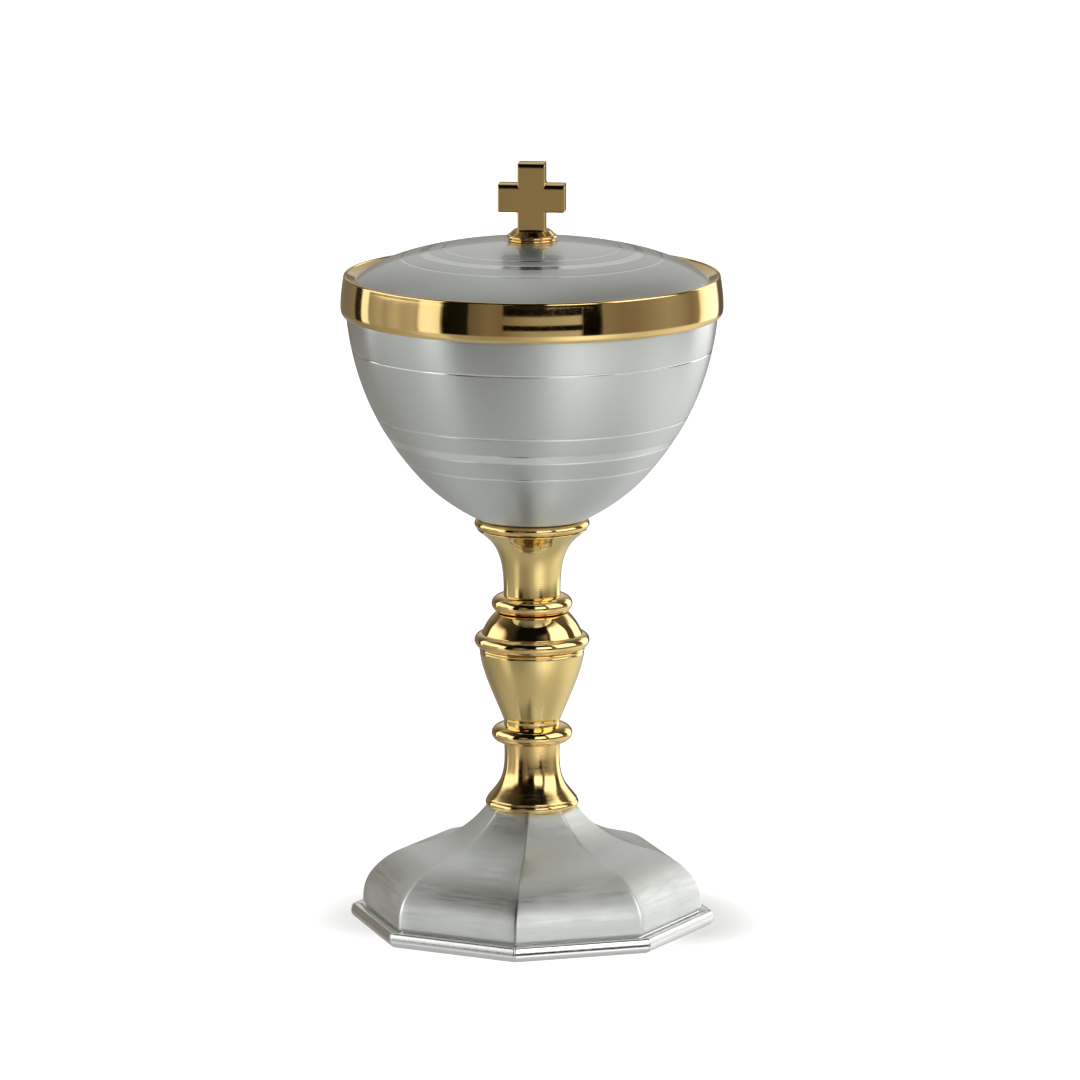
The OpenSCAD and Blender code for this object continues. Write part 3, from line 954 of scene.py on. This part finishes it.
UPPER_START = [  # elevation where UPPER starts, in units of 20 degrees
    (-180, 0.50), (-130, 0.12), (-124, 0.05), (-117, 0.06), (-100, 0.13), (-75, 0.28),
    (-56, 0.36), (-30, 0.50), (8, 0.475), (46, 0.475), (52, 0.47), (80, 0.40), (112, 0.16),
    (122, 0.10), (151, 0.10), (156, 0.35), (180, 0.50)]
TOP_START = [  # elevation where TOP starts, in units of 50 degrees
    (-180, 1.0), (-150, 0.9), (-127, 0.55), (-118, 0.58), (-85, 0.70), (-66, 0.58), (-40, 0.45),
    (8, 0.5), (12, 0.74), (41, 0.74), (48, 0.95), (60, 1.05), (100, 0.95), (118, 0.50),
    (150, 0.52), (158, 0.9), (180, 1.0)]
# Azimuth span, elevation span, brightness, softness across and up
PATCHES = [
    ((-17.5, 30.5), (5.4, 9.6), 0.003, 0.8, 0.35),  # upper dark bar
    ((-17.5, 30.5), (-4.8, -0.2), 0.003, 0.8, 0.35),  # lower dark bar
    ((-26, -12), (11.6, 13.8), 1.1, 1.5, 0.4)]  # bright strip over their left end


def azimuth_curve(net, azimuth, pairs):
    """Piecewise-linear value over azimuth; the curve node holds both axes scaled to 0..1."""
    node = net.add("ShaderNodeFloatCurve")
    points = node.mapping.curves[0].points
    places = [((angle + 180) / 360, value / 2.0) for angle, value in pairs]
    points[0].location = places[0]
    points[1].location = places[-1]
    for place in places[1:-1]:
        points.new(*place)
    for point in points:
        point.handle_type = "VECTOR"
    node.mapping.update()
    net.put(node.inputs["Value"], net.math("DIVIDE", net.total(azimuth, 180.0), 360.0))
    node.inputs["Factor"].default_value = 1.0
    return net.times(node.outputs[0], 2.0)


def build_world():
    """A room drawn by direction, seen only by the metal; the camera sees plain white."""
    world = bpy.data.worlds.new("studio")
    bpy.context.scene.world = world
    net = Net(world)
    out = net.add("ShaderNodeOutputWorld")
    degrees = 180 / math.pi
    x, y, z = net.split(net.add("ShaderNodeTexCoord").outputs["Generated"])
    azimuth = net.times(net.math("ARCTAN2", x, net.times(y, -1.0)), degrees)
    azimuth = net.math("WRAP", net.math("SUBTRACT", azimuth, VIEW_DEG), 180.0, -180.0)
    level = net.math("MINIMUM", net.math("MAXIMUM", z, -1.0), 1.0)
    elevation = net.times(net.math("ARCSINE", level), degrees)

    near, under, horizon, upper, top, upper_start, top_start = (
        azimuth_curve(net, azimuth, pairs)
        for pairs in (TABLE, UNDER, HORIZON, UPPER, TOP, UPPER_START, TOP_START))
    over_upper = net.math("SUBTRACT", elevation, net.times(upper_start, 20.0))
    over_top = net.math("SUBTRACT", elevation, net.times(top_start, 50.0))
    value = net.mix_value(net.ramp(elevation, span=(-54.0, -26.0)), under, near)
    value = net.mix_value(net.ramp(elevation, span=(-15.5, -10.5)), value, horizon)
    value = net.mix_value(net.ramp(over_upper, span=(-0.6, 0.6)), value, upper)
    value = net.mix_value(net.ramp(over_top, span=(-7.0, 7.0)), value, top)
    for across, up, brightness, soft_across, soft_up in PATCHES:
        mask = net.times(net.band(azimuth, *across, soft_across),
                         net.band(elevation, *up, soft_up))
        value = net.mix_value(mask, value, brightness)

    low_tint, high_tint, dim_tint = (1.0, 1.005, 0.99), (1.0, 1.0, 0.985), (1.12, 0.96, 0.78)
    tint = net.mix_color(net.ramp(elevation, span=(-10, 10)), low_tint, high_tint)
    # the dim parts of the room are a little browner than the lit ones
    tint = net.mix_color(net.ramp(value, span=(0.10, 0.40), to=(1.0, 0.0)), tint, dim_tint)
    color = net.mix_color(1.0, tint, net.join(value, value, value), blend="MULTIPLY")
    room = net.node("ShaderNodeBackground", {"Color": color})
    white = net.node("ShaderNodeBackground", {"Color": (1, 1, 1, 1), "Strength": 1.0})
    to_camera = net.add("ShaderNodeLightPath").outputs["Is Camera Ray"]
    net.put(out.inputs[0], net.node("ShaderNodeMixShader", {0: to_camera, 1: room, 2: white}))


def build_floor():
    """Pale floor, lit like any surface but not mirrored in the metal."""
    material = bpy.data.materials.new("pale_floor")
    net = Net(material)
    out = net.add("ShaderNodeOutputMaterial")
    diffuse = net.node("ShaderNodeBsdfDiffuse", {"Color": (0.86, 0.86, 0.86, 1)})
    # Painted shadow: the glow dims close behind the foot, more so towards +X; spans are in metres
    x, y, _ = net.split(net.add("ShaderNodeNewGeometry").outputs["Position"])
    close = net.ramp(net.hypot(x, y), span=(0.046, 0.080), to=(1.0, 0.0))
    behind = net.times(close, net.ramp(y, span=(-0.045, -0.005)))
    painted_shadow_depth = net.ramp(x, span=(0.020, 0.050), to=(0.34, 0.54))
    glow = net.math("SUBTRACT", 0.86, net.times(behind, painted_shadow_depth))
    emission = net.node("ShaderNodeEmission", {"Color": (1, 1, 1, 1), "Strength": glow})
    net.put(out.inputs[0], net.node("ShaderNodeAddShader", {0: diffuse, 1: emission}))

    bm = bmesh.new()
    bmesh.ops.create_circle(bm, cap_ends=True, cap_tris=False, segments=96, radius=9.0)
    floor = link_object("floor", bm)
    floor.data.materials.append(material)
    floor.visible_glossy = False


def build_camera():
    """Long lens from a little right of the front; places are in metres."""
    distance, height = 2.378, 0.5645
    target = Vector((0, 0, 0.116))
    lens = bpy.data.cameras.new("camera")
    camera = bpy.data.objects.new("camera", lens)
    bpy.context.scene.collection.objects.link(camera)
    bpy.context.scene.camera = camera
    angle = math.radians(VIEW_DEG)
    camera.location = (math.sin(angle) * distance, -math.cos(angle) * distance, height)
    camera.rotation_mode = "QUATERNION"
    camera.rotation_quaternion = (target - Vector(camera.location)).to_track_quat("-Z", "Y")
    lens.sensor_width = 36.0
    lens.lens = 278.6
    lens.shift_x = 0.0074
    lens.shift_y = -0.0081
    lens.clip_start = 0.05
    lens.clip_end = 50.0


build_world()
build_floor()
build_camera()

view = bpy.context.scene.view_settings
view.view_transform = "Standard"
view.look = "None"
view.exposure = 0.0
view.gamma = 1.0

bpy.context.view_layer.update()
